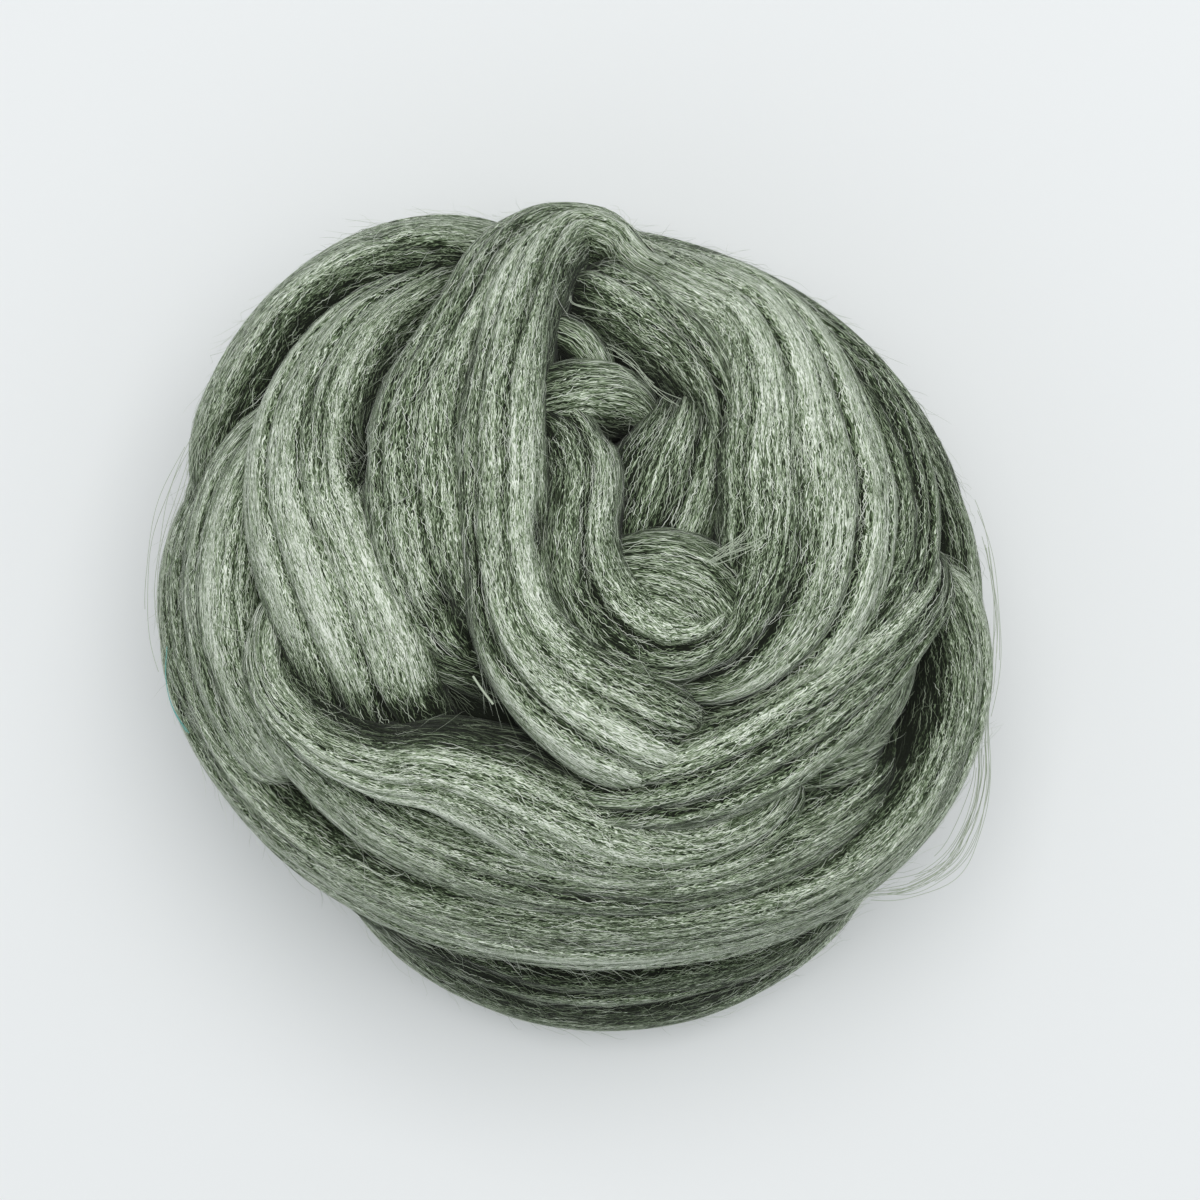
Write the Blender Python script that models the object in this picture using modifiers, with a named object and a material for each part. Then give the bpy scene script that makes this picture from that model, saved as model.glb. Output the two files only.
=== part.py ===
"""Ball of combed wool roving: one soft solid of its wound form and main wraps.

Metres, +Z up. The origin is at the middle of the flat spot's plane, under the
middle of the ball's box. The folded front of the ball faces up.
"""
import math
from collections import namedtuple

import bmesh
import bpy
import numpy as np
from mathutils import Matrix, Vector

for thing in list(bpy.data.objects):
    bpy.data.objects.remove(thing, do_unlink=True)

MM = 0.001

# ---- driving sizes, millimetres ----
BALL_MIDDLE = np.array([0.5, 5.0, 48.5])
BALL_HALF = np.array([74.0, 67.5, 49.0])     # half sizes of the wound form
SHIFT = np.array([-0.4, 2.25, 0.0])           # puts the middle of the box at the origin
STRAND_DEPTH = 15.0                          # how deep a strand is, face to back
STRAND_OVERLAP = 1.35                        # strand width over strand spacing
SWATH_CROWN = 1.0                            # how far a swath's edges drop below its middle
CORE_INSET = 7.0                             # core surface below the wound form
STATION_STEP = 4.0                           # spacing of sections along a strand
RING_CORNERS = 12                            # corners in one strand section
ROWS_PER_SPAN = 16                           # curve points between two table rows
FUSE_SIZE = 1.6                              # grain of the fused skin
SMOOTH_PASSES = 3
SMOOTH_SHARE = 0.5                           # how far each pass moves a corner to its neighbours' middle
RELAX_PASSES = 2
RELAX_SHARE = 0.35
CORE_DETAIL = 5                              # times the core's faces are split in four
TARGET_TRIANGLES = 11000
MERGE = 0.00005                              # metres
WOOL_COLOUR = (0.197, 0.243, 0.173, 1.0)

# A row seen from above: across and along, then lift of the face off the
# wound form and width of the whole swath there.
Top = namedtuple("Top", "x y lift width")
# A row on the side or underneath: bearing in degrees and height off the table.
Side = namedtuple("Side", "bearing height lift width")

# A hollow pressed into the core: where its middle is from above, how wide and how deep.
Dent = namedtuple("Dent", "x y radius depth")

DENTS = [
    Dent(13, 33, 24, 15),     # the open hollow beside the curl
    Dent(-26, -5, 17, 9),     # the deep corner under the front swath
    Dent(64, -13, 16, 13),    # the pocket at the right
]

# name: (strands side by side, rows from the start to the end of the swath)
SWATHS = {
    "under_first": (3, [
        Side(18, 34, -4, 30), Side(14, 14, 0, 34), Side(350, 3, 2.5, 40),
        Side(254, 3, 2.5, 40), Side(228, 12, 0, 33), Side(222, 32, -4, 28)]),
    "under_second": (3, [
        Side(140, 36, -4, 28), Side(134, 14, 0, 32), Side(110, 3, 2.5, 40),
        Side(14, 3, 2.5, 40), Side(-16, 12, 0, 32), Side(-24, 32, -4, 28)]),
    "under_third": (3, [
        Side(262, 28, -4, 26), Side(252, 12, 0, 30), Side(226, 3, 2.5, 40),
        Side(136, 3, 2.5, 40), Side(104, 14, 0, 32), Side(96, 34, -4, 28)]),
    "side_ring_low": (2, [
        Side(-20, 26, -1.5, 19), Side(15, 20, 0, 21), Side(55, 16, 0, 22),
        Side(95, 20, 0, 22), Side(135, 28, 0, 21), Side(170, 30, 0, 21),
        Side(205, 22, 0, 21), Side(240, 16, -1, 20), Side(280, 15, -2, 20),
        Side(320, 20, -2, 19), Side(350, 30, -3, 16)]),
    "side_ring_high": (2, [
        Side(190, 34, -3, 18), Side(165, 42, -0.5, 19), Side(130, 36, 0, 20),
        Side(95, 38, 0.5, 21), Side(60, 36, 0.5, 22), Side(25, 36, 0.5, 22),
        Side(-10, 42, 0, 20), Side(-35, 40, -1, 18), Side(-65, 36, -2, 18),
        Side(-95, 38, -2, 18), Side(-130, 36, -2, 18), Side(-160, 40, -3, 16)]),
    "low_inner": (3, [
        Side(203, 34, -6, 22), Side(220, 27, 3, 26), Side(242, 23, 10, 30),
        Side(265, 21, 15, 32), Side(288, 22, 15.5, 32), Side(306, 25, 14.5, 29),
        Side(320, 29, 7, 24), Side(334, 34, -5, 19)]),
    "low_strand": (2, [
        Side(218, 34, -6, 12), Side(231, 27, 6, 15), Side(247, 23, 18, 18),
        Side(266, 21, 26, 20), Side(284, 22, 26.5, 20), Side(299, 24, 22, 19),
        Side(311, 28, 14.5, 17), Side(322, 34, 4, 14), Side(332, 40, -6, 11)]),
    "deep_patch_low": (1, [
        Top(-33, -14, -12, 11), Top(-23, -18, -9.5, 13), Top(-12, -24, -10, 13),
        Top(-3, -31, -13, 11)]),
    "deep_patch": (1, [
        Top(-34, -5, -12, 12), Top(-26, -7, -6.5, 13), Top(-17, -10.5, -6.5, 13.5),
        Top(-8, -17, -12, 12)]),
    "top_left_rim": (2, [
        Side(92, 60, -8, 12), Side(106, 58, 2, 16), Side(120, 55, 6, 19),
        Side(134, 54, 6, 19), Side(147, 55, 4, 17), Side(158, 54, 1, 14),
        Side(168, 48, -6, 12)]),
    "left_rim": (2, [
        Side(146, 69, -6, 15), Side(156, 69.5, -1, 17), Side(168, 70, 0.5, 19),
        Side(184, 70, 0.5, 19), Side(198, 70, 0, 18), Side(214, 69, -3, 17)]),
    "belt_outer": (3, [
        Side(158, 40, -5, 16), Side(172, 44, 0, 18), Side(190, 51, 1, 20),
        Side(212, 57, 0.5, 22), Side(236, 61, 0, 23), Side(262, 63, 0.5, 24),
        Side(288, 62, 2, 23), Side(310, 58, 4.8, 23), Side(326, 56, 5.6, 21),
        Side(340, 56, 4.2, 17), Side(352, 59, 2, 13), Side(364, 64, -2, 9)]),
    "belt_inner": (2, [
        Top(-60, 3, -6, 8), Top(-59.5, -8, -1.5, 9.5), Top(-54, -19, -1, 12),
        Top(-45, -28.5, -0.5, 15), Top(-33.5, -37, 0, 17), Top(-19.5, -43.5, 0, 18),
        Top(-4, -48, 0, 18), Top(13, -49.5, 0, 16), Top(29, -46.5, 0.5, 15),
        Top(43, -41, 0.2, 15), Top(54, -35, -1, 14), Top(62.5, -28, -4, 11),
        Top(68, -19, -10, 8)]),
    "pocket_deep": (1, [
        Top(45, -32, -11, 10), Top(54, -24.5, -5.5, 12.5), Top(60.3, -15.5, -3.8, 12.5),
        Top(63.8, -6, -4.8, 10.5), Top(65.5, 4, -9, 8)]),
    "pocket_fold": (1, [
        Top(42, -34, -12, 9), Top(49, -30, -6.5, 13), Top(55, -26.5, -4.5, 14),
        Top(60, -25, -6, 11.5), Top(64, -26, -12, 7)]),
    "lip": (2, [
        Top(-58.5, 5, -8, 4), Top(-55.5, -3.5, 0, 6), Top(-50, -11.8, 4.5, 7),
        Top(-41, -19.3, 6, 8), Top(-31, -23.6, 6, 10), Top(-21.5, -25.2, 5.4, 13),
        Top(-13, -29.5, 3.8, 16), Top(-4, -35.6, 2, 17), Top(6, -41, 0.5, 16),
        Top(20, -43, 0, 13), Top(34, -39, -0.5, 12), Top(46, -31.5, -4, 10)]),
    "sweep": (3, [
        Top(69, 14, -5, 8), Top(67, 6, 0, 10), Top(61, -3, 0.5, 12),
        Top(53, -11, 1, 15), Top(43, -19, 1.2, 17.5), Top(32, -25.5, 1.6, 17.5),
        Top(19, -30.3, 1.6, 15.5), Top(6, -32.3, 0, 13), Top(-7, -31, -6, 10)]),
    "right_outer": (2, [
        Side(64, 56, -7, 12), Top(46, 53, -1, 11), Top(54, 44, 0, 12),
        Top(60, 33, 0, 13), Top(63, 20, 0, 13), Top(62, 8, -0.5, 13),
        Top(56, -3, -1.5, 13), Top(47, -12, -3, 12), Top(36, -19, -8, 9)]),
    "right": (3, [
        Side(80, 52, -6, 20), Top(23, 64, 0, 20), Top(33.5, 57, 1, 21),
        Top(40, 48, 1, 23), Top(43, 38, 1, 26), Top(44.5, 28, 1, 30),
        Top(45, 18, 1, 30), Top(43.5, 7, 0.5, 28), Top(38.5, -3, 0, 23),
        Top(31, -11, -1.5, 16), Top(21, -16, -8, 11)]),
    "left": (3, [
        Side(104, 60, -8, 8), Top(-22, 66, -2, 10), Top(-30.5, 61, -0.5, 13),
        Top(-38.5, 54.5, 0.5, 17), Top(-45, 45, 1, 20), Top(-48.5, 34, 1.5, 21.5),
        Top(-48.8, 22, 1.5, 22.5), Top(-46.3, 11, 0.9, 24), Top(-43.5, 1, 0, 25),
        Top(-41.3, -8, -1.2, 24.5), Top(-39.5, -16, -2.8, 23.5), Top(-37.5, -24, -5.5, 22),
        Top(-36, -32, -10, 20)]),
    "left_inner": (3, [
        Side(68, 62, -5, 5), Top(12, 67.5, 0.5, 6), Top(5, 70.5, 3, 7.5),
        Top(-3, 70.5, 4, 8.5), Top(-10, 67.5, 4, 9), Top(-15, 62, 4.2, 9.5),
        Top(-18.5, 54.5, 4, 11), Top(-22.5, 47, 3.6, 13.5), Top(-25.5, 40, 3.5, 16),
        Top(-27.2, 31, 3.4, 18), Top(-27, 21, 3, 19), Top(-26.3, 12, 2, 18),
        Top(-25, 3.5, -0.8, 16), Top(-23, -4, -5, 13), Top(-20, -12, -12, 9)]),
    "hollow_back": (1, [
        Top(-13, 41, -9, 10), Top(-6, 42.3, -2.8, 12), Top(1, 43.5, -1.8, 13.5),
        Top(7, 44.2, -2.4, 11), Top(11.5, 44.6, -6, 6.5), Top(15, 45, -12, 4)]),
    "hollow_top": (1, [
        Top(-9, 56, -7, 7), Top(-3, 55, -3, 8.5), Top(2, 53, -3.5, 8),
        Top(7, 49, -8, 5)]),
    "hollow_folds": (3, [
        Top(9, 3, -13, 12), Top(13.5, 12, -7, 18), Top(17.5, 22, -4, 21.5),
        Top(20.5, 31, -3.6, 19.5), Top(23.5, 39, -4.8, 13.5), Top(26, 47, -10, 9)]),
    "curl": (1, [
        Top(7, 7.5, -10, 7), Top(12, 8.5, -3.6, 13), Top(18.5, 7.5, -1.5, 18),
        Top(25, 4.5, -1.3, 19), Top(30, -1, -2.8, 16), Top(33, -8, -9, 11)]),
    "inner_ring": (2, [
        Top(-10, 41, -6, 8), Top(-4, 38.8, -2.5, 10), Top(1, 34, -0.8, 12),
        Top(3, 26.5, 0.5, 13),
        Top(2, 16, 1, 13), Top(3.5, 7, 1, 14), Top(9, -0.5, 0.5, 15),
        Top(17, -5, 0, 14), Top(25, -4.5, -1, 10), Top(31, 1, -2, 6.5),
        Top(32.5, 11, -3, 6), Top(31.5, 22, -4, 6), Top(31, 33, -3.5, 6.5),
        Top(28.5, 42.5, -2, 9), Top(23, 50, -0.5, 12), Top(15.5, 56.5, -0.3, 14),
        Top(8, 61.5, -0.5, 14), Top(1, 65.5, -2.5, 13)]),
    "front": (3, [
        Side(76, 60, -5, 5), Top(13, 64.5, 0.5, 6), Top(7, 66.5, 4, 7.5),
        Top(0.5, 66.5, 5.5, 9), Top(-4, 62.5, 5.5, 10.5), Top(-7.2, 57, 5, 12),
        Top(-9.7, 50, 4.3, 13), Top(-11.7, 42, 3.8, 14), Top(-12.6, 33, 3.6, 14.8),
        Top(-12.6, 23, 3.6, 14.8), Top(-12.4, 13.5, 3.6, 14), Top(-10.6, 3, 3.8, 14.5),
        Top(-7.3, -4, 4, 16), Top(-2.3, -9.6, 4, 18), Top(3.5, -14, 4, 19.5),
        Top(9.5, -17.8, 3.2, 20), Top(15.5, -21.5, 0.6, 19), Top(21, -25, -4.5, 16),
        Top(25.5, -28, -10, 13)])
}


# ---- places on the wound form ----
def direction_of(row):
    """Unit direction from the ball's middle to the place a row names."""
    if isinstance(row, Top):
        flat = np.array([row.x, row.y]) - BALL_MIDDLE[:2]
        left_over = 1.0 - float(np.sum((flat / BALL_HALF[:2]) ** 2))
        toward = np.array([flat[0], flat[1], BALL_HALF[2] * math.sqrt(max(left_over, 0.0))])
    else:
        level = (row.height - BALL_MIDDLE[2]) / BALL_HALF[2]
        level = min(max(level, -0.98), 0.98)
        turn = math.radians(row.bearing)
        reach = 1.0 / math.hypot(math.cos(turn) / BALL_HALF[0], math.sin(turn) / BALL_HALF[1])
        reach *= math.sqrt(1.0 - level * level)
        toward = np.array([reach * math.cos(turn), reach * math.sin(turn), level * BALL_HALF[2]])
    return toward / np.linalg.norm(toward)


def place_on_form(directions, lifts):
    """Points a given lift off the wound form, along the given directions."""
    unit = directions / np.linalg.norm(directions, axis=1, keepdims=True)
    reach = 1.0 / np.linalg.norm(unit / BALL_HALF, axis=1)
    return BALL_MIDDLE + unit * (reach + lifts)[:, None]


def outward(points):
    """Outward directions of the wound form at points near it."""
    away = (points - BALL_MIDDLE) / BALL_HALF ** 2
    return away / np.linalg.norm(away, axis=1, keepdims=True)


# ---- curves through the table rows ----
def smooth_curve(rows):
    """Curve through the rows, passing each one."""
    table = np.array([[*direction_of(row), row.lift, row.width] for row in rows])
    before = 2 * table[0] - table[1]
    after = 2 * table[-1] - table[-2]
    table = np.vstack([before, table, after])
    steps = np.linspace(0, 1, ROWS_PER_SPAN, endpoint=False)[:, None]
    spans = []
    for i in range(1, len(table) - 2):
        a, b, c, d = table[i - 1:i + 3]
        bend = 2 * a - 5 * b + 4 * c - d
        twist = -a + 3 * b - 3 * c + d
        spans.append(0.5 * (2 * b + (c - a) * steps + bend * steps ** 2 + twist * steps ** 3))
    return np.vstack(spans + [table[-2:-1]])


def even_stations(points, widths, step):
    """The same curve with its stations evenly spaced."""
    lengths = np.linalg.norm(np.diff(points, axis=0), axis=1)
    along = np.concatenate([[0.0], np.cumsum(lengths)])
    count = max(5, int(round(along[-1] / step)) + 1)
    at = np.linspace(0.0, along[-1], count)
    spaced = np.stack([np.interp(at, along, points[:, k]) for k in range(3)], axis=1)
    return spaced, np.interp(at, along, widths)


def directions_along(points):
    """Along, across and outward directions at every station."""
    along = np.gradient(points, axis=0)
    along /= np.linalg.norm(along, axis=1, keepdims=True)
    across = np.cross(along, outward(points))
    across /= np.linalg.norm(across, axis=1, keepdims=True)
    return along, across, np.cross(across, along)


def strands_of(count, rows):
    """Middle line and half width of each strand of a swath."""
    curve = smooth_curve(rows)
    middles = place_on_form(curve[:, :3], curve[:, 3] - STRAND_DEPTH / 2)
    middles, widths = even_stations(middles, curve[:, 4], STATION_STEP)
    along, across, out = directions_along(middles)
    found = []
    for k in range(count):
        side = (k + 0.5) / count - 0.5
        drop = SWATH_CROWN * (2 * side) ** 2
        line = middles + across * (side * widths)[:, None] - out * drop
        spread = STRAND_OVERLAP if count > 1 else 1.0
        found.append((line, widths / count * spread / 2))
    return found


# ---- solids ----
def add_strand(bm, line, half_widths):
    """One strand: oval sections along its line, joined and closed at both ends."""
    along, across, out = directions_along(line)
    loops = []
    last = len(line) - 1
    for i, middle in enumerate(line):
        wide = Vector(across[i]) * float(half_widths[i]) * MM
        deep = Vector(out[i]) * (STRAND_DEPTH / 2) * MM
        ahead = Vector(along[i]) * MM
        place = Vector(middle + SHIFT) * MM
        matrix = Matrix.Translation(place) @ Matrix((wide, deep, ahead)).transposed().to_4x4()
        ring = bmesh.ops.create_circle(
            bm, cap_ends=i in (0, last), segments=RING_CORNERS, radius=1.0, matrix=matrix)
        corners = set(ring["verts"])
        edges = [e for v in ring["verts"] for e in v.link_edges if e.other_vert(v) in corners]
        loops.append(list(dict.fromkeys(edges)))
    for i in range(last):
        bmesh.ops.bridge_loops(bm, edges=loops[i] + loops[i + 1])


def core_mesh():
    """The packed middle of the ball, set back further under the hollow."""
    bm = bmesh.new()
    bmesh.ops.create_icosphere(bm, subdivisions=CORE_DETAIL, radius=1.0)
    half = BALL_HALF - CORE_INSET
    for v in bm.verts:
        point = BALL_MIDDLE + np.array(v.co) * half
        for dent in DENTS:
            gap = math.hypot(point[0] - dent.x, point[1] - dent.y)
            if point[2] > BALL_MIDDLE[2] and gap < dent.radius:
                point[2] -= dent.depth * 0.5 * (1 + math.cos(math.pi * gap / dent.radius))
        v.co = Vector((point + SHIFT) * MM)
    mesh = bpy.data.meshes.new("core")
    bm.to_mesh(mesh)
    bm.free()
    return mesh


def strand_mesh(line, half_widths):
    bm = bmesh.new()
    add_strand(bm, line, half_widths)
    bmesh.ops.recalc_face_normals(bm, faces=bm.faces[:])
    mesh = bpy.data.meshes.new("strand")
    bm.to_mesh(mesh)
    bm.free()
    return mesh


def joined(meshes):
    """All the meshes in one, still as separate shells."""
    bm = bmesh.new()
    for mesh in meshes:
        bm.from_mesh(mesh)
    whole = bpy.data.meshes.new("roving_ball")
    bm.to_mesh(whole)
    bm.free()
    for mesh in meshes:
        bpy.data.meshes.remove(mesh)
    return whole


def add_modifier(thing, kind, name, **settings):
    modifier = thing.modifiers.new(name, kind)
    for key, value in settings.items():
        setattr(modifier, key, value)
    return modifier


def apply_modifiers(thing):
    """Replace the object's mesh by what its modifiers make of it."""
    seen = thing.evaluated_get(bpy.context.evaluated_depsgraph_get())
    made = bpy.data.meshes.new_from_object(seen)
    old = thing.data
    thing.modifiers.clear()
    thing.data = made
    bpy.data.meshes.remove(old)


def keep_outer_skin(mesh):
    """Drop every shell but the largest: the others lie inside the ball."""
    bm = bmesh.new()
    bm.from_mesh(mesh)
    unseen = set(bm.verts)
    shells = []
    while unseen:
        shell = [unseen.pop()]
        for v in shell:
            for e in v.link_edges:
                other = e.other_vert(v)
                if other in unseen:
                    unseen.remove(other)
                    shell.append(other)
        shells.append(shell)
    shells.sort(key=len, reverse=True)
    for shell in shells[1:]:
        bmesh.ops.delete(bm, geom=shell, context="VERTS")
    bm.to_mesh(mesh)
    bm.free()


def cut_flat_spot(mesh):
    """Slice the ball off level with the table and close the cut."""
    bm = bmesh.new()
    bm.from_mesh(mesh)
    bmesh.ops.bisect_plane(
        bm, geom=bm.verts[:] + bm.edges[:] + bm.faces[:], dist=MERGE,
        plane_co=(0, 0, 0), plane_no=(0, 0, 1), clear_inner=True)
    for v in bm.verts:
        if v.co.z < MERGE:
            v.co.z = 0.0
    bmesh.ops.remove_doubles(bm, verts=bm.verts[:], dist=MERGE)
    rim = [e for e in bm.edges if e.is_boundary]
    bmesh.ops.contextual_create(bm, geom=rim)
    bmesh.ops.triangulate(bm, faces=bm.faces[:])
    bmesh.ops.recalc_face_normals(bm, faces=bm.faces[:])
    bm.to_mesh(mesh)
    bm.free()


def make_material():
    wool = bpy.data.materials.new("sage_wool")
    wool.use_nodes = True
    shader = wool.node_tree.nodes["Principled BSDF"]
    shader.inputs["Base Color"].default_value = WOOL_COLOUR
    shader.inputs["Roughness"].default_value = 0.9
    shader.inputs["Metallic"].default_value = 0.0
    return wool


def build():
    meshes = [core_mesh()]
    for count, rows in SWATHS.values():
        for line, half_widths in strands_of(count, rows):
            meshes.append(strand_mesh(line, half_widths))
    ball = bpy.data.objects.new("roving_ball", joined(meshes))
    collection = bpy.data.collections.new("wool_roving")
    bpy.context.scene.collection.children.link(collection)
    collection.objects.link(ball)
    add_modifier(ball, "REMESH", "fuse", mode="VOXEL", voxel_size=FUSE_SIZE * MM)
    add_modifier(ball, "SMOOTH", "soften", factor=SMOOTH_SHARE, iterations=SMOOTH_PASSES)
    apply_modifiers(ball)
    keep_outer_skin(ball.data)
    triangles = sum(len(face.vertices) - 2 for face in ball.data.polygons)
    add_modifier(ball, "DECIMATE", "thin", ratio=TARGET_TRIANGLES / triangles)
    add_modifier(ball, "SMOOTH", "relax", factor=RELAX_SHARE, iterations=RELAX_PASSES)
    apply_modifiers(ball)
    cut_flat_spot(ball.data)
    ball.data.materials.append(make_material())


build()
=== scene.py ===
"""Ball of combed wool roving, dressed: furrowed swaths, laid fibres, fuzz and loose wisps."""
import math
from collections import namedtuple
from functools import partial

import bmesh
import bpy
import numpy as np
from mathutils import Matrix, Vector


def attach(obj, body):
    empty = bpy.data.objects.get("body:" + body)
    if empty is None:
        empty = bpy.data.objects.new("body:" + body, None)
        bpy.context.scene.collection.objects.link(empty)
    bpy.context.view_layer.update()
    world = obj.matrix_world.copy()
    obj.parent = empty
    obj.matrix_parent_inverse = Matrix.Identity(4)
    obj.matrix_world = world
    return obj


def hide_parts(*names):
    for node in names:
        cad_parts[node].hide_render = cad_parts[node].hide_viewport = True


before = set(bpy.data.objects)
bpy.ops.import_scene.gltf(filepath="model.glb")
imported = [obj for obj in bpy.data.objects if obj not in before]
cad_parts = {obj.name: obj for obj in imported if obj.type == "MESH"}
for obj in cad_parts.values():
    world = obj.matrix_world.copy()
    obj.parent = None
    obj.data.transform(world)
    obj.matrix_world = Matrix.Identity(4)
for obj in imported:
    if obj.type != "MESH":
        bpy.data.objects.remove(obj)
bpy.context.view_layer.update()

MM = 0.001

# ---- sizes of the wound form, millimetres, as the solid has them ----
BALL_MIDDLE = np.array([0.5, 5.0, 48.5])
BALL_HALF = np.array([74.0, 67.5, 49.0])
SHIFT = np.array([-0.4, 2.25, 0.0])
STRAND_DEPTH = 15.0
CORE_INSET = 8.0

# ---- the surface of a swath ----
FINE_GRAIN = (0.55, 1.25)         # mesh spacing across and along a swath that shows
COARSE_GRAIN = (1.0, 2.4)         # and on one underneath
UNDER_SPACING = 3.0               # hidden back of a section, times the spacing across
SECTION_SQUARENESS = 3.0          # 2 is an ellipse
FLANK_SHADE = 0.7                  # painted shade: how much darker the sides of a swath are painted
SWATH_CROWN = 1.0                 # how much lower its sides are than its middle
CREASE_DEPTH = 2.6                # between the strands of one swath
CREASE_WIDTH = 0.75
STRAND_SPREAD = 1.12              # widening where strands lie side by side
TONE_DRIFT = 0.22                 # slow change of tone over a swath
CORE_GRID = (90, 121)             # rows and columns of the core
PIT_FLOOR = 15.0                  # pits press only what lies this far above the middle
LOCK_DEPTH = 1.35                 # between the locks of one strand
LOCK_WIDTH = 6.5
TUFT_DEPTH = 0.32                 # between the small bundles of one lock
TUFT_WIDTH = 2.3
HOLLOW_CELL = 1.2                 # mesh of the map that finds what lies sunken, mm
HOLLOW_REACH = 4                  # cells to each side that count as beside
SWATH_ROW_GAP = 100.0             # keeps the swaths apart on the fibre map
MAP_REACH = 3000.0                # more than the whole fibre map, mm

Top = namedtuple("Top", "x y lift width")
Side = namedtuple("Side", "bearing height lift width")
Dent = namedtuple("Dent", "x y radius depth")
# strands: how many lie side by side; split: how deep the creases between them go, 1 in full;
# tone: darker below 0, paler above; fine: shows on top
Swath = namedtuple("Swath", "strands split tone fine rows")

DENTS = [
    Dent(13, 33, 24, 15),
    Dent(-26, -5, 17, 9),
    Dent(64, -13, 16, 13),
]

# small deep holes where swaths part: middle, half sizes across and along, and depth
Pit = namedtuple("Pit", "x y wide long depth")
PITS = [
    Pit(-36.3, 27.6, 1.5, 4.2, 8),      # between the left swath and the one beside it
    Pit(-5.0, 15.0, 0.8, 5.0, 5),       # beside the front swath
    Pit(7.5, 34.0, 3.0, 3.0, 6),        # the open corner of the hollow
    Pit(-21.5, 2.5, 2.0, 3.0, 5),       # where the inner left swath goes under
]

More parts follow.
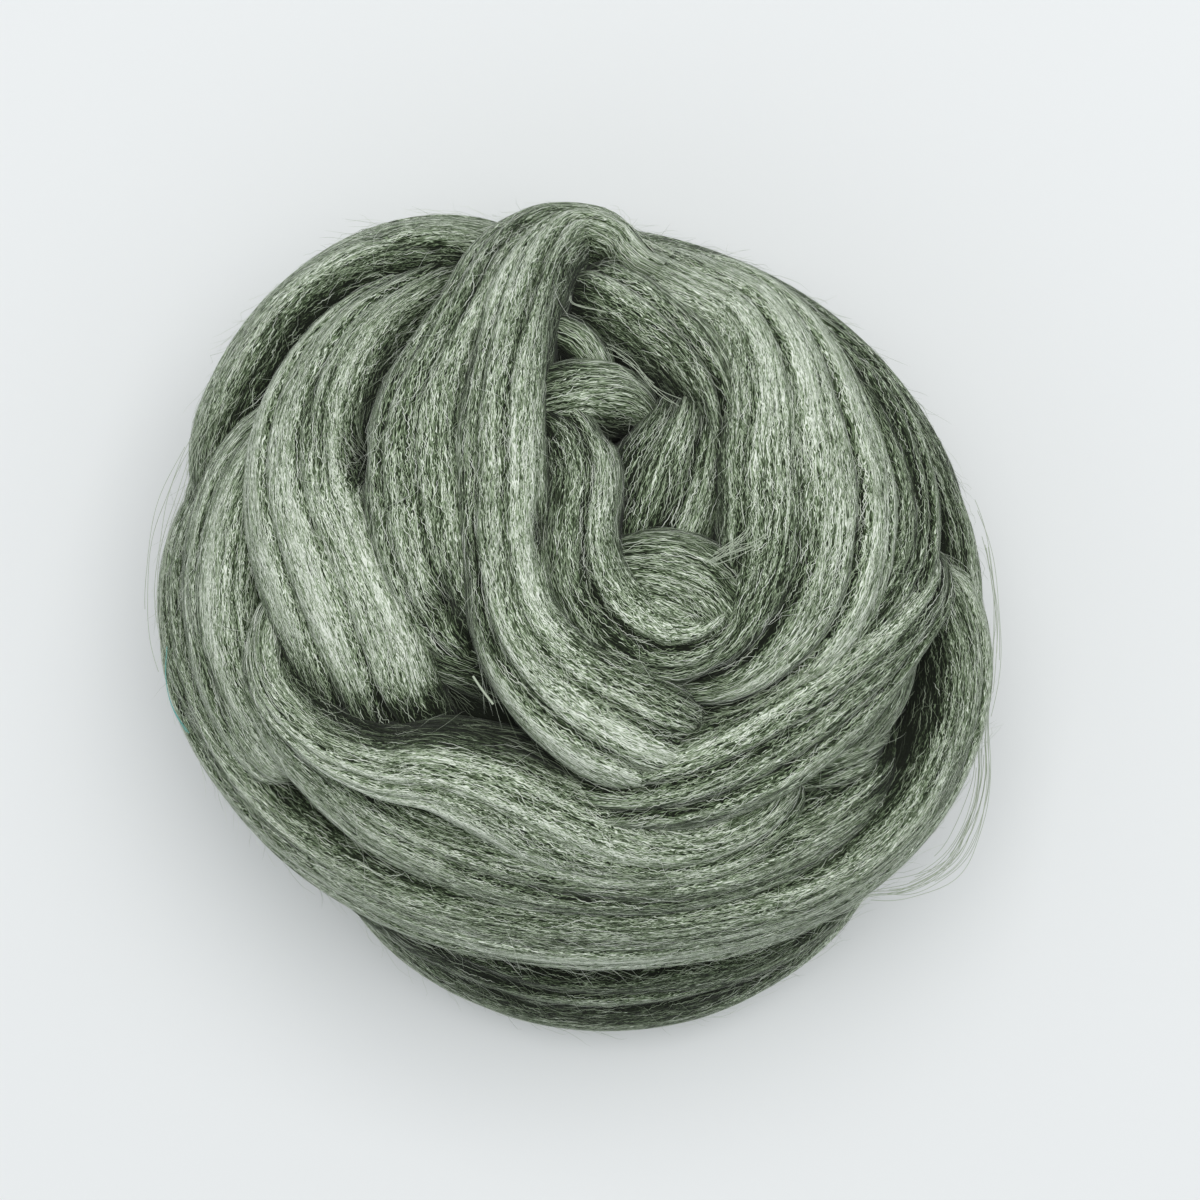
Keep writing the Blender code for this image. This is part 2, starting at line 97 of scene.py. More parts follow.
SWATHS = {
    "under_first": Swath(3, 1, -0.1, False, [
        Side(18, 34, -4, 30), Side(14, 14, 0, 34), Side(350, 3, 2.5, 40), Side(254, 3, 2.5, 40),
        Side(228, 12, 0, 33), Side(222, 32, -4, 28)]),
    "under_second": Swath(3, 1, -0.1, False, [
        Side(140, 36, -4, 28), Side(134, 14, 0, 32), Side(110, 3, 2.5, 40), Side(14, 3, 2.5, 40),
        Side(-16, 12, 0, 32), Side(-24, 32, -4, 28)]),
    "under_third": Swath(3, 1, -0.1, False, [
        Side(262, 28, -4, 26), Side(252, 12, 0, 30), Side(226, 3, 2.5, 40), Side(136, 3, 2.5, 40),
        Side(104, 14, 0, 32), Side(96, 34, -4, 28)]),
    "side_ring_low": Swath(2, 1, -0.1, False, [
        Side(-20, 26, -1.5, 19), Side(15, 20, 0, 21), Side(55, 16, 0, 22), Side(95, 20, 0, 22),
        Side(135, 28, 0, 21), Side(170, 30, 0, 21), Side(205, 22, 0, 21), Side(240, 16, -1, 20),
        Side(280, 15, -2, 20), Side(320, 20, -2, 19), Side(350, 30, -3, 16)]),
    "side_ring_high": Swath(2, 1, -0.1, False, [
        Side(190, 34, -3, 18), Side(165, 42, -0.5, 19), Side(130, 36, 0, 20),
        Side(95, 38, 0.5, 21), Side(60, 36, 0.5, 22), Side(25, 36, 0.5, 22), Side(-10, 42, 0, 20),
        Side(-35, 40, -1, 18), Side(-65, 36, -2, 18), Side(-95, 38, -2, 18),
        Side(-130, 36, -2, 18), Side(-160, 40, -3, 16)]),
    "low_inner": Swath(3, 0.8, 0.2, True, [
        Side(203, 34, -6, 22), Side(220, 27, 3, 26), Side(242, 23, 10, 30), Side(265, 21, 15, 32),
        Side(288, 22, 15.5, 32), Side(306, 25, 14.5, 29), Side(320, 29, 7, 24),
        Side(334, 34, -5, 19)]),
    "low_strand": Swath(2, 0.9, 0.25, True, [
        Side(218, 34, -6, 12), Side(231, 27, 6, 15), Side(247, 23, 18, 18), Side(266, 21, 26, 20),
        Side(284, 22, 26.5, 20), Side(299, 24, 22, 19), Side(311, 28, 14.5, 17),
        Side(322, 34, 4, 14), Side(332, 40, -6, 11)]),
    # painted shade: its low tone makes this wool deep in the gap dark
    "deep_patch_low": Swath(1, 1, -0.9, True, [
        Top(-33, -14, -12, 11), Top(-23, -18, -9.5, 13), Top(-12, -24, -10, 13),
        Top(-3, -31, -13, 11)]),
    # painted shade: its low tone makes this wool deep in the gap dark
    "deep_patch": Swath(1, 1, -0.3, True, [
        Top(-34, -5, -12, 12), Top(-26, -7, -6.5, 13), Top(-17, -10.5, -6.5, 13.5),
        Top(-8, -17, -12, 12)]),
    "top_left_rim": Swath(2, 0.7, 0.15, True, [
        Side(92, 60, -8, 12), Side(106, 58, 2, 16), Side(120, 55, 6, 19), Side(134, 54, 6, 19),
        Side(147, 55, 4, 17), Side(158, 54, 1, 14), Side(168, 48, -6, 12)]),
    "left_rim": Swath(2, 0.4, 0.5, True, [
        Side(146, 69, -6, 15), Side(156, 69.5, -1, 17), Side(168, 70, 0.5, 19),
        Side(184, 70, 0.5, 19), Side(198, 70, 0, 18), Side(214, 69, -3, 17)]),
    "belt_outer": Swath(3, 0.45, 0.3, True, [
        Side(158, 40, -5, 16), Side(172, 44, 0, 18), Side(190, 51, 1, 20), Side(212, 57, 0.5, 22),
        Side(236, 61, 0, 23), Side(262, 63, 0.5, 24), Side(288, 62, 2, 23), Side(310, 58, 4.8, 23),
        Side(326, 56, 5.6, 21), Side(340, 56, 4.2, 17), Side(352, 59, 2, 13),
        Side(364, 64, -2, 9)]),
    "belt_inner": Swath(2, 0.4, 0.2, True, [
        Top(-60, 3, -6, 8), Top(-59.5, -8, -1.5, 9.5), Top(-54, -19, -1, 12),
        Top(-45, -28.5, -0.5, 15), Top(-33.5, -37, 0, 17), Top(-19.5, -43.5, 0, 18),
        Top(-4, -48, 0, 18), Top(13, -49.5, 0, 16), Top(29, -46.5, 0.5, 15), Top(43, -41, 0.2, 15),
        Top(54, -35, -1, 14), Top(62.5, -28, -4, 11), Top(68, -19, -10, 8)]),
    # painted shade: its low tone makes this wool deep in the right pocket dark
    "pocket_deep": Swath(1, 1, -0.9, True, [
        Top(45, -32, -11, 10), Top(54, -24.5, -5.5, 12.5), Top(60.3, -15.5, -3.8, 12.5),
        Top(63.8, -6, -4.8, 10.5), Top(65.5, 4, -9, 8)]),
    "pocket_fold": Swath(1, 1, -0.1, True, [
        Top(42, -34, -12, 9), Top(49, -30, -6.5, 13), Top(55, -26.5, -4.5, 14),
        Top(60, -25, -6, 11.5), Top(64, -26, -12, 7)]),
    "lip": Swath(2, 0.5, 0.55, True, [
        Top(-58.5, 5, -8, 4), Top(-55.5, -3.5, 0, 6), Top(-50, -11.8, 4.5, 7),
        Top(-41, -19.3, 6, 8), Top(-31, -23.6, 6, 10), Top(-21.5, -25.2, 5.4, 13),
        Top(-13, -29.5, 3.8, 16), Top(-4, -35.6, 2, 17), Top(6, -41, 0.5, 16), Top(20, -43, 0, 13),
        Top(34, -39, -0.5, 12), Top(46, -31.5, -4, 10)]),
    "sweep": Swath(3, 0.6, 0.0, True, [
        Top(69, 14, -5, 8), Top(67, 6, 0, 10), Top(61, -3, 0.5, 12), Top(53, -11, 1, 15),
        Top(43, -19, 1.2, 17.5), Top(32, -25.5, 1.6, 17.5), Top(19, -30.3, 1.6, 15.5),
        Top(6, -32.3, 0, 13), Top(-7, -31, -6, 10)]),
    "right_outer": Swath(2, 0.9, -0.6, True, [
        Side(64, 56, -7, 12), Top(46, 53, -1, 11), Top(54, 44, 0, 12), Top(60, 33, 0, 13),
        Top(63, 20, 0, 13), Top(62, 8, -0.5, 13), Top(56, -3, -1.5, 13), Top(47, -12, -3, 12),
        Top(36, -19, -8, 9)]),
    "right": Swath(3, 0.85, 0.38, True, [
        Side(80, 52, -6, 20), Top(23, 64, 0, 20), Top(33.5, 57, 1, 21), Top(40, 48, 1, 23),
        Top(43, 38, 1, 26), Top(44.5, 28, 1, 30), Top(45, 18, 1, 30), Top(43.5, 7, 0.5, 28),
        Top(38.5, -3, 0, 23), Top(31, -11, -1.5, 16), Top(21, -16, -8, 11)]),
    "left": Swath(3, 0.6, 0.6, True, [
        Side(104, 60, -8, 8), Top(-22, 66, -2, 10), Top(-30.5, 61, -0.5, 13),
        Top(-38.5, 54.5, 0.5, 17), Top(-45, 45, 1, 20), Top(-48.5, 34, 1.5, 21.5),
        Top(-48.8, 22, 1.5, 22.5), Top(-46.3, 11, 0.9, 24), Top(-43.5, 1, 0, 25),
        Top(-41.3, -8, -1.2, 24.5), Top(-39.5, -16, -2.8, 23.5), Top(-37.5, -24, -5.5, 22),
        Top(-36, -32, -10, 20)]),
    "left_inner": Swath(3, 0.6, 0.55, True, [
        Side(68, 62, -5, 5), Top(12, 67.5, 0.5, 6), Top(5, 70.5, 3, 7.5), Top(-3, 70.5, 4, 8.5),
        Top(-10, 67.5, 4, 9), Top(-15, 62, 4.2, 9.5), Top(-18.5, 54.5, 4, 11),
        Top(-22.5, 47, 3.6, 13.5), Top(-25.5, 40, 3.5, 16), Top(-27.2, 31, 3.4, 18),
        Top(-27, 21, 3, 19), Top(-26.3, 12, 2, 18), Top(-25, 3.5, -0.8, 16), Top(-23, -4, -5, 13),
        Top(-20, -12, -12, 9)]),
    "hollow_back": Swath(1, 0.8, 0.1, True, [
        Top(-13, 41, -9, 10), Top(-6, 42.3, -2.8, 12), Top(1, 43.5, -1.8, 13.5),
        Top(7, 44.2, -2.4, 11), Top(11.5, 44.6, -6, 6.5), Top(15, 45, -12, 4)]),
    "hollow_top": Swath(1, 1, 0.1, True, [
        Top(-9, 56, -7, 7), Top(-3, 55, -3, 8.5), Top(2, 53, -3.5, 8), Top(7, 49, -8, 5)]),
    "hollow_folds": Swath(3, 0.9, 0.4, True, [
        Top(9, 3, -13, 12), Top(13.5, 12, -7, 18), Top(17.5, 22, -4, 21.5),
        Top(20.5, 31, -3.6, 19.5), Top(23.5, 39, -4.8, 13.5), Top(26, 47, -10, 9)]),
    "curl": Swath(1, 0.6, 0, True, [
        Top(7, 7.5, -10, 7), Top(12, 8.5, -3.6, 13), Top(18.5, 7.5, -1.5, 18),
        Top(25, 4.5, -1.3, 19), Top(30, -1, -2.8, 16), Top(33, -8, -9, 11)]),
    "inner_ring": Swath(2, 0.7, 0.1, True, [
        Top(-10, 41, -6, 8), Top(-4, 38.8, -2.5, 10), Top(1, 34, -0.8, 12), Top(3, 26.5, 0.5, 13),
        Top(2, 16, 1, 13), Top(3.5, 7, 1, 14), Top(9, -0.5, 0.5, 15), Top(17, -5, 0, 14),
        Top(25, -4.5, -1, 10), Top(31, 1, -2, 6.5), Top(32.5, 11, -3, 6), Top(31.5, 22, -4, 6),
        Top(31, 33, -3.5, 6.5), Top(28.5, 42.5, -2, 9), Top(23, 50, -0.5, 12),
        Top(15.5, 56.5, -0.3, 14), Top(8, 61.5, -0.5, 14), Top(1, 65.5, -2.5, 13)]),
    "front": Swath(3, 0.6, 0.68, True, [
        Side(76, 60, -5, 5), Top(13, 64.5, 0.5, 6), Top(7, 66.5, 4, 7.5), Top(0.5, 66.5, 5.5, 9),
        Top(-4, 62.5, 5.5, 10.5), Top(-7.2, 57, 5, 12), Top(-9.7, 50, 4.3, 13),
        Top(-11.7, 42, 3.8, 14), Top(-12.6, 33, 3.6, 14.8), Top(-12.6, 23, 3.6, 14.8),
        Top(-12.4, 13.5, 3.6, 14), Top(-10.6, 3, 3.8, 14.5), Top(-7.3, -4, 4, 16),
        Top(-2.3, -9.6, 4, 18), Top(3.5, -14, 4, 19.5), Top(9.5, -17.8, 3.2, 20),
        Top(15.5, -21.5, 0.6, 19), Top(21, -25, -4.5, 16), Top(25.5, -28, -10, 13)])
}


# ---- places on the wound form ----
def direction_of(row):
    """Unit direction from the ball's middle to the place a row names."""
    if isinstance(row, Top):
        flat = np.array([row.x, row.y]) - BALL_MIDDLE[:2]
        left_over = 1.0 - float(np.sum((flat / BALL_HALF[:2]) ** 2))
        toward = np.array([flat[0], flat[1], BALL_HALF[2] * math.sqrt(max(left_over, 0.0))])
    else:
        level = (row.height - BALL_MIDDLE[2]) / BALL_HALF[2]
        level = min(max(level, -0.98), 0.98)
        turn = math.radians(row.bearing)
        reach = 1.0 / math.hypot(math.cos(turn) / BALL_HALF[0], math.sin(turn) / BALL_HALF[1])
        reach *= math.sqrt(1.0 - level * level)
        toward = np.array([reach * math.cos(turn), reach * math.sin(turn), level * BALL_HALF[2]])
    return toward / np.linalg.norm(toward)


def place_on_form(directions, lifts):
    """Points a given lift off the wound form, along the given directions."""
    unit = directions / np.linalg.norm(directions, axis=-1, keepdims=True)
    reach = 1.0 / np.linalg.norm(unit / BALL_HALF, axis=-1)
    return BALL_MIDDLE + unit * (reach + lifts)[..., None]


def outward(points):
    """Outward directions of the wound form at points near it."""
    away = (points - BALL_MIDDLE) / BALL_HALF ** 2
    return away / np.linalg.norm(away, axis=-1, keepdims=True)


# ---- curves through the table rows ----
def smooth_curve(table, per_span=16):
    """Curve through the rows of an array, passing each one."""
    table = np.vstack([2 * table[0] - table[1], table, 2 * table[-1] - table[-2]])
    steps = np.linspace(0, 1, per_span, endpoint=False)[:, None]
    spans = []
    for i in range(1, len(table) - 2):
        a, b, c, d = table[i - 1:i + 3]
        bend = 2 * a - 5 * b + 4 * c - d
        twist = -a + 3 * b - 3 * c + d
        spans.append(0.5 * (2 * b + (c - a) * steps + bend * steps ** 2 + twist * steps ** 3))
    return np.vstack(spans + [table[-2:-1]])


def even_stations(points, widths, step):
    """The same curve with its stations evenly spaced, and how far along each one is."""
    lengths = np.linalg.norm(np.diff(points, axis=0), axis=1)
    along = np.concatenate([[0.0], np.cumsum(lengths)])
    count = max(8, int(round(along[-1] / step)) + 1)
    at = np.linspace(0.0, along[-1], count)
    spaced = np.stack([np.interp(at, along, points[:, k]) for k in range(3)], axis=1)
    return at, spaced, np.interp(at, along, widths)


def directions_along(points):
    """Along, across and outward directions at every station."""
    along = np.gradient(points, axis=0)
    along /= np.linalg.norm(along, axis=1, keepdims=True)
    across = np.cross(along, outward(points))
    across /= np.linalg.norm(across, axis=1, keepdims=True)
    return along, across, np.cross(across, along)


# ---- unevenness of hand-wound wool ----
def smooth_noise(seed, x, y, cells=(97, 89)):
    """Smooth random values from -1 to 1, one lattice cell to a unit of x or y."""
    grid = np.random.default_rng(seed).uniform(-1, 1, cells)
    cell_x, cell_y = np.floor(x).astype(int), np.floor(y).astype(int)
    part_x, part_y = x - cell_x, y - cell_y
    part_x = part_x * part_x * (3 - 2 * part_x)
    part_y = part_y * part_y * (3 - 2 * part_y)
    x0, x1 = cell_x % cells[0], (cell_x + 1) % cells[0]
    y0, y1 = cell_y % cells[1], (cell_y + 1) % cells[1]
    low = grid[x0, y0] * (1 - part_x) + grid[x1, y0] * part_x
    high = grid[x0, y1] * (1 - part_x) + grid[x1, y1] * part_x
    return low * (1 - part_y) + high * part_y


def creases(value, sharpness):
    """1 along the lines where a value crosses zero, falling to 0 beside them."""
    return np.exp(-(value / sharpness) ** 2)


def furrows(seed, along, across, swath, width):
    """How far the surface lies above (+) or below (-) the plain section, millimetres."""
    wander = 2.4 * smooth_noise(seed, along / 42, across / 10)
    wander += 0.5 * smooth_noise(seed + 1, along / 15, across / 4)
    drifted = across + wander
    height = np.zeros_like(drifted)
    for k in range(1, swath.strands):
        boundary = width * (k / swath.strands - 0.5)
        split = 0.7 + 0.4 * smooth_noise(seed + 2 + k, along / 32, 0 * along)
        height -= CREASE_DEPTH * swath.split * split * creases(drifted - boundary, CREASE_WIDTH)
    lock = smooth_noise(seed + 7, along / 75, drifted / LOCK_WIDTH)
    presence = 0.55 + 0.45 * smooth_noise(seed + 8, along / 24, drifted / 7)
    height -= LOCK_DEPTH * (0.4 + 0.6 * swath.split) * presence * creases(lock, 0.12)
    tuft = smooth_noise(seed + 9, along / 34, drifted / TUFT_WIDTH)
    presence = 0.5 + 0.5 * smooth_noise(seed + 10, along / 13, drifted / 5)
    height -= TUFT_DEPTH * presence * creases(tuft, 0.2)
    height += 0.7 * smooth_noise(seed + 11, along / 42, drifted / 8)
    return height


# ---- meshes ----
def section_of(width, depth, spacing):
    """Closed section of a swath: unit places, outward slopes and distance round from the top."""
    power = 2.0 / SECTION_SQUARENESS
    turn = np.linspace(-math.pi / 2, -5 * math.pi / 2, 4000)
    cosine, sine = np.cos(turn), np.sin(turn)
    unit = np.stack([np.sign(cosine) * np.abs(cosine) ** power,
                     np.sign(sine) * np.abs(sine) ** power], axis=1)
    real = unit * [width / 2, depth / 2]
    around = np.concatenate([[0], np.cumsum(np.linalg.norm(np.diff(real, axis=0), axis=1))])
    around -= around[-1] / 2
    stretch = np.where(real[:, 1] > -0.2 * depth, 1.0, 1.0 / UNDER_SPACING)
    pace = np.concatenate([[0], np.cumsum(np.diff(around) * stretch[1:])])
    count = int(round(pace[-1] / spacing))
    at = np.linspace(0, pace[-1], count + 1)[:-1]
    places = np.stack([np.interp(at, pace, unit[:, k]) for k in range(2)], axis=1)
    round_at = np.interp(at, pace, around)
    slope = np.sign(places) * np.abs(places) ** (SECTION_SQUARENESS - 1)
    return places, slope, round_at, 2 * around[-1]


def above_table(points):
    """Press what would reach below the table up against it."""
    height = points[..., 2]
    points[..., 2] = 0.5 * (height + np.sqrt(height ** 2 + 0.3))
    return points


def press_pits(points):
    """Push the top of a swath in at the small deep holes."""
    for pit in PITS:
        gap = ((points[..., 0] - pit.x) / pit.wide) ** 2
        gap = gap + ((points[..., 1] - pit.y) / pit.long) ** 2
        press = pit.depth * np.exp(-gap) * (points[..., 2] > BALL_MIDDLE[2] + PIT_FLOOR)
        points = points - outward(points) * press[..., None]
    return points


def places_of(mesh):
    """Points of a mesh, in metres."""
    places = np.empty(len(mesh.vertices) * 3, dtype=np.float32)
    mesh.vertices.foreach_get("co", places)
    return places.reshape(-1, 3).astype(float)


def in_scene(name, data):
    """An object of the given data, put in the scene."""
    thing = bpy.data.objects.new(name, data)
    bpy.context.scene.collection.objects.link(thing)
    return thing


def final_mesh(thing):
    """Plain mesh of an object as its modifiers or its bevel leave it."""
    seen = thing.evaluated_get(bpy.context.evaluated_depsgraph_get())
    return bpy.data.meshes.new_from_object(seen)


def signed_volume(mesh):
    """Volume of a closed mesh, below 0 when it is inside out."""
    mesh.calc_loop_triangles()
    corners = np.empty(len(mesh.loop_triangles) * 3, dtype=np.int32)
    mesh.loop_triangles.foreach_get("vertices", corners)
    a, b, c = places_of(mesh)[corners.reshape(-1, 3)].transpose(1, 0, 2)
    return float(np.sum(a * np.cross(b, c))) / 6


def mesh_from_grid(name, points, map_u, map_v, values):
    """Mesh of a grid of points, rows along and columns round, with its fibre map and values."""
    rows, columns = points.shape[:2]
    index = np.arange(rows * columns).reshape(rows, columns)
    right = np.roll(index, -1, axis=1)
    quads = np.stack([index[:-1], index[1:], right[1:], right[:-1]], axis=-1).reshape(-1, 4)
    u_left, v_left = map_u[:, :columns], map_v[:, :columns]
    u_right, v_right = map_u[:, 1:], map_v[:, 1:]
    corners = [(u_left[:-1], v_left[:-1]), (u_left[1:], v_left[1:]),
               (u_right[1:], v_right[1:]), (u_right[:-1], v_right[:-1])]
    quad_map = np.stack([np.stack(c, axis=-1) for c in corners], axis=2).reshape(-1, 2)
    end_map = [np.stack([map_u[0, :-1], map_v[0, :-1]], axis=1),
               np.stack([map_u[-1, :-1], map_v[-1, :-1]], axis=1)[::-1]]
    loops_map = np.vstack([quad_map] + end_map)
    faces = quads.tolist() + [index[0].tolist(), index[-1][::-1].tolist()]
    mesh = bpy.data.meshes.new(name)
    mesh.from_pydata((points.reshape(-1, 3) + SHIFT) * MM, [], faces)
    fibre_map = mesh.uv_layers.new(name="fibre_mm")
    fibre_map.data.foreach_set("uv", loops_map.astype(np.float32).ravel())
    for key, value in values.items():
        layer = mesh.attributes.new(key, "FLOAT", "POINT")
        layer.data.foreach_set("value", np.asarray(value, dtype=np.float32).ravel())
    mesh.polygons.foreach_set("use_smooth", [True] * len(mesh.polygons))
    mesh.validate()
    if signed_volume(mesh) < 0:
        mesh.flip_normals()
    return mesh


def swath_mesh(number, name, swath):
    """The surface of one swath, furrowed along its fibres."""
    spacing, step = FINE_GRAIN if swath.fine else COARSE_GRAIN
    rows = np.array([[*direction_of(r), r.lift, r.width] for r in swath.rows])
    curve = smooth_curve(rows)
    middles = place_on_form(curve[:, :3], curve[:, 3] - STRAND_DEPTH / 2)
    along, middles, widths = even_stations(middles, curve[:, 4], step)
    widths = widths * (STRAND_SPREAD if swath.strands > 1 else 1.0)
    mean_width = float(np.mean(widths))
    places, slope, round_at, girth = section_of(mean_width, STRAND_DEPTH, spacing)
    _, across_way, out_way = directions_along(middles)
    ends = np.clip(np.minimum(along, along[-1] - along) / (STRAND_DEPTH * 0.45), 0.02, 1)
    taper = np.sqrt(1 - (1 - ends) ** 2)[:, None]
    half_wide = widths[:, None] / 2 * taper
    half_deep = STRAND_DEPTH / 2 * taper
    wide, deep = places[:, 0], places[:, 1]
    crown = SWATH_CROWN * wide ** 2 * (swath.strands > 1)
    normal = (across_way[:, None] * (slope[:, 0] / half_wide)[..., None]
              + out_way[:, None] * (slope[:, 1] / half_deep)[..., None])
    normal /= np.linalg.norm(normal, axis=-1, keepdims=True)
    points = (middles[:, None] + across_way[:, None] * (half_wide * wide)[..., None]
              + out_way[:, None] * (half_deep * deep - crown)[..., None])
    grid_along = np.repeat(along[:, None], len(round_at), axis=1)
    grid_round = np.repeat(round_at[None], len(along), axis=0)
    height = furrows(100 * number, grid_along, grid_round, swath, mean_width) * taper
    points = above_table(points + normal * height[..., None])
    if swath.fine:
        points = press_pits(points)
    row = SWATH_ROW_GAP * number
    map_u = np.repeat(along[:, None], len(round_at) + 1, axis=1)
    map_v = np.repeat((row + np.append(round_at, round_at[0] + girth))[None], len(along), axis=0)
    # painted shade: the lower sides of each swath are darkened in its tone, where they roll down
    # into the creases
    shaded_flank = np.clip(0.8 - deep, 0, 1)[None]
    tone = np.full(height.shape, swath.tone) - FLANK_SHADE * shaded_flank
    tone += TONE_DRIFT * smooth_noise(100 * number + 30, grid_along / 60, grid_round / 7)
    return mesh_from_grid(name, points, map_u, map_v, {"furrow": height, "tone": tone})


def form_lift(points):
    """Height of each point above the plain ball, mm, and its place on a flat map of the ball."""
    stretched = (points - BALL_MIDDLE) / BALL_HALF
    reach = np.linalg.norm(stretched, axis=1)
    lift = np.linalg.norm(points - BALL_MIDDLE, axis=1) * (1 - 1 / reach)
    tilt = np.arccos(np.clip(stretched[:, 2] / reach, -1, 1))
    turn = np.arctan2(stretched[:, 1], stretched[:, 0])
    return lift, (tilt * np.cos(turn), tilt * np.sin(turn))


def spread_highest(grid, passes):
    """Each cell takes the highest value beside it, the given number of times."""
    for _ in range(passes):
        grid = np.maximum.reduce([grid] + [np.roll(grid, step, axis)
                                           for axis in (0, 1) for step in (-1, 1)])
    return grid


def blurred(grid, passes):
    """The grid with each cell mixed with the four beside it, the given number of times."""
    for _ in range(passes):
        grid = (2 * grid + sum(np.roll(grid, step, axis)
                               for axis in (0, 1) for step in (-1, 1))) / 6
    return grid


def mark_sunken(meshes):
    """Store how far each point lies below the highest wool near it, in millimetres; the materials
    paint shade from it.
    """
    radius = float(np.mean(BALL_HALF))
    cells = int(2 * math.pi * radius / HOLLOW_CELL) + 8
    highest = np.full((cells, cells), -25.0)
    found = []
    for mesh in meshes:
        lift, (x, y) = form_lift(places_of(mesh) / MM - SHIFT)
        x = x * radius / HOLLOW_CELL + cells / 2
        y = y * radius / HOLLOW_CELL + cells / 2
        np.maximum.at(highest, (np.round(x).astype(int), np.round(y).astype(int)), lift)
        found.append((lift, x, y))
    roof = blurred(spread_highest(highest, HOLLOW_REACH), HOLLOW_REACH * 2)
    for mesh, (lift, x, y) in zip(meshes, found):
        x0, y0 = np.floor(x).astype(int), np.floor(y).astype(int)
        px, py = x - x0, y - y0
        above = ((roof[x0, y0] * (1 - px) + roof[x0 + 1, y0] * px) * (1 - py)
                 + (roof[x0, y0 + 1] * (1 - px) + roof[x0 + 1, y0 + 1] * px) * py)
        layer = mesh.attributes.new("sunken", "FLOAT", "POINT")
        layer.data.foreach_set("value", np.clip(above - lift, 0, 25).astype(np.float32))


def core_mesh():
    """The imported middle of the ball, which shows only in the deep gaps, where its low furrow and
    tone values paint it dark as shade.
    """
    rows, columns = CORE_GRID
    tilt = np.radians(np.linspace(2, 178, rows))[:, None]
    turn = np.radians(np.linspace(0, 360, columns))[None, :-1]
    unit = np.stack([np.sin(tilt) * np.cos(turn), np.sin(tilt) * np.sin(turn),
                     np.cos(tilt) + 0 * turn], axis=-1)
    points = BALL_MIDDLE + unit * (BALL_HALF - CORE_INSET)
    for dent in DENTS:
        gap = np.hypot(points[..., 0] - dent.x, points[..., 1] - dent.y)
        near = (points[..., 2] > BALL_MIDDLE[2]) & (gap < dent.radius)
        points[..., 2] -= near * dent.depth * 0.5 * (1 + np.cos(math.pi * gap / dent.radius))
    radius = float(np.mean(BALL_HALF))
    map_u = np.repeat(np.linspace(0, 2 * math.pi * radius, columns)[None], rows, axis=0)
    map_v = np.repeat(tilt * radius - SWATH_ROW_GAP * 2, columns, axis=1)
    # painted shade: the core's low furrow and tone values make it dark
    low = np.full(points.shape[:2], -1.0)
    return mesh_from_grid("core", above_table(points), map_u, map_v,
                          {"furrow": low, "tone": low * 0.6})


# ---- materials ----
def colour(hex_code):
    """Linear colour of an sRGB hex code."""
    channels = [int(hex_code[i:i + 2], 16) / 255 for i in (1, 3, 5)]
    linear = [c / 12.92 if c <= 0.04045 else ((c + 0.055) / 1.055) ** 2.4 for c in channels]
    return (*linear, 1.0)


def add_node(tree, kind, inputs=(), stops=(), **settings):
    """Add a node with its properties, and fill its inputs with values or links.

    Inputs go by name, or in order, where None leaves one as it is. A node stands for its
    first output. Stops are the places and hex codes of a ramp.
    """
    node = tree.nodes.new(kind)
    for key, value in settings.items():
        setattr(node, key, value)
    by_key = inputs if isinstance(inputs, dict) else dict(enumerate(inputs))
    for key, value in by_key.items():
        if isinstance(value, bpy.types.Node):
            value = value.outputs[0]
        if isinstance(value, bpy.types.NodeSocket):
            tree.links.new(value, node.inputs[key])
        elif value is not None:
            node.inputs[key].default_value = value
    while stops and len(node.color_ramp.elements) < len(stops):
        node.color_ramp.elements.new(0.5)
    for number, (place, code) in enumerate(stops):
        node.color_ramp.elements[number].position = place
        node.color_ramp.elements[number].color = colour(code)
    return node


def add_chain(tree, kind, known, rows):
    """Add a node of the given kind for each row: name of its result, operation and inputs.

    An input that is a name in known is linked to that result.
    """
    for name, operation, *terms in rows:
        inputs = [known.get(t, t) if isinstance(t, str) else t for t in terms]
        known[name] = add_node(tree, kind, inputs, operation=operation).outputs[0]


def new_material(name, **values):
    """A material and its shader, with values on the shader's own sockets."""
    material = bpy.data.materials.new(name)
    material.use_nodes = True
    shader = material.node_tree.nodes["Principled BSDF"]
    for key, value in values.items():
        shader.inputs[key.replace("_", " ")].default_value = value
    return material, shader


MATHS = "ShaderNodeMath"
VECTORS = "ShaderNodeVectorMath"

FIBRE_WIDTH = 0.13        # mm; real fibres of 0.02 mm are too fine to show, so drawn in bundles
FIBRE_LENGTH = 2.0        # mm, how far one streak runs before another takes over
CRIMP_LENGTH = 1.1        # mm, one bend of the fibres
CRIMP_WIDTH = 0.5         # mm, neighbouring fibres that bend together
CRIMP_SWING = 0.55        # mm, the whole range of the bends
BUNDLE_WIDTH = 0.6        # mm
LOCK_TONE_WIDTH = 2.8     # mm, paler and darker locks side by side


STAGGER_LENGTH = 9.0      # mm, how far neighbouring fibres start apart
STAGGER_WIDTH = 0.33      # mm
BUNDLE_LENGTH = 30.0      # mm
LOCK_TONE_LENGTH = 70.0   # mm
# shade of the wool: where each pattern is neutral, and how strongly it counts
GRAIN_NEUTRAL, GRAIN_STRENGTH = 0.62, 3.0
BUNDLE_STRENGTH, LOCK_STRENGTH = 0.9, 0.7
# painted shade and light: the furrow height darkens the creases and lightens the ridges; the tone
# carries each swath's own tone and also the painted shade of its sides and of the deep gaps
FURROW_SHADE_AND_LIGHT, TONE_AND_SHADE_STRENGTH = 0.28, 0.25
SHADE_MIDDLE = 0.43
UNSHADED_DEPTH, GAP_SHADE_PER_MM = 1.6, 0.085    # painted shade in the gaps: mm below the wool beside it, and shade lost by mm
WOOL_STOPS = [(0.06, "#10150a"), (0.3, "#414f35"), (0.52, "#798a6b"), (0.72, "#b1bea4"),
              (0.95, "#e6ebdf")]


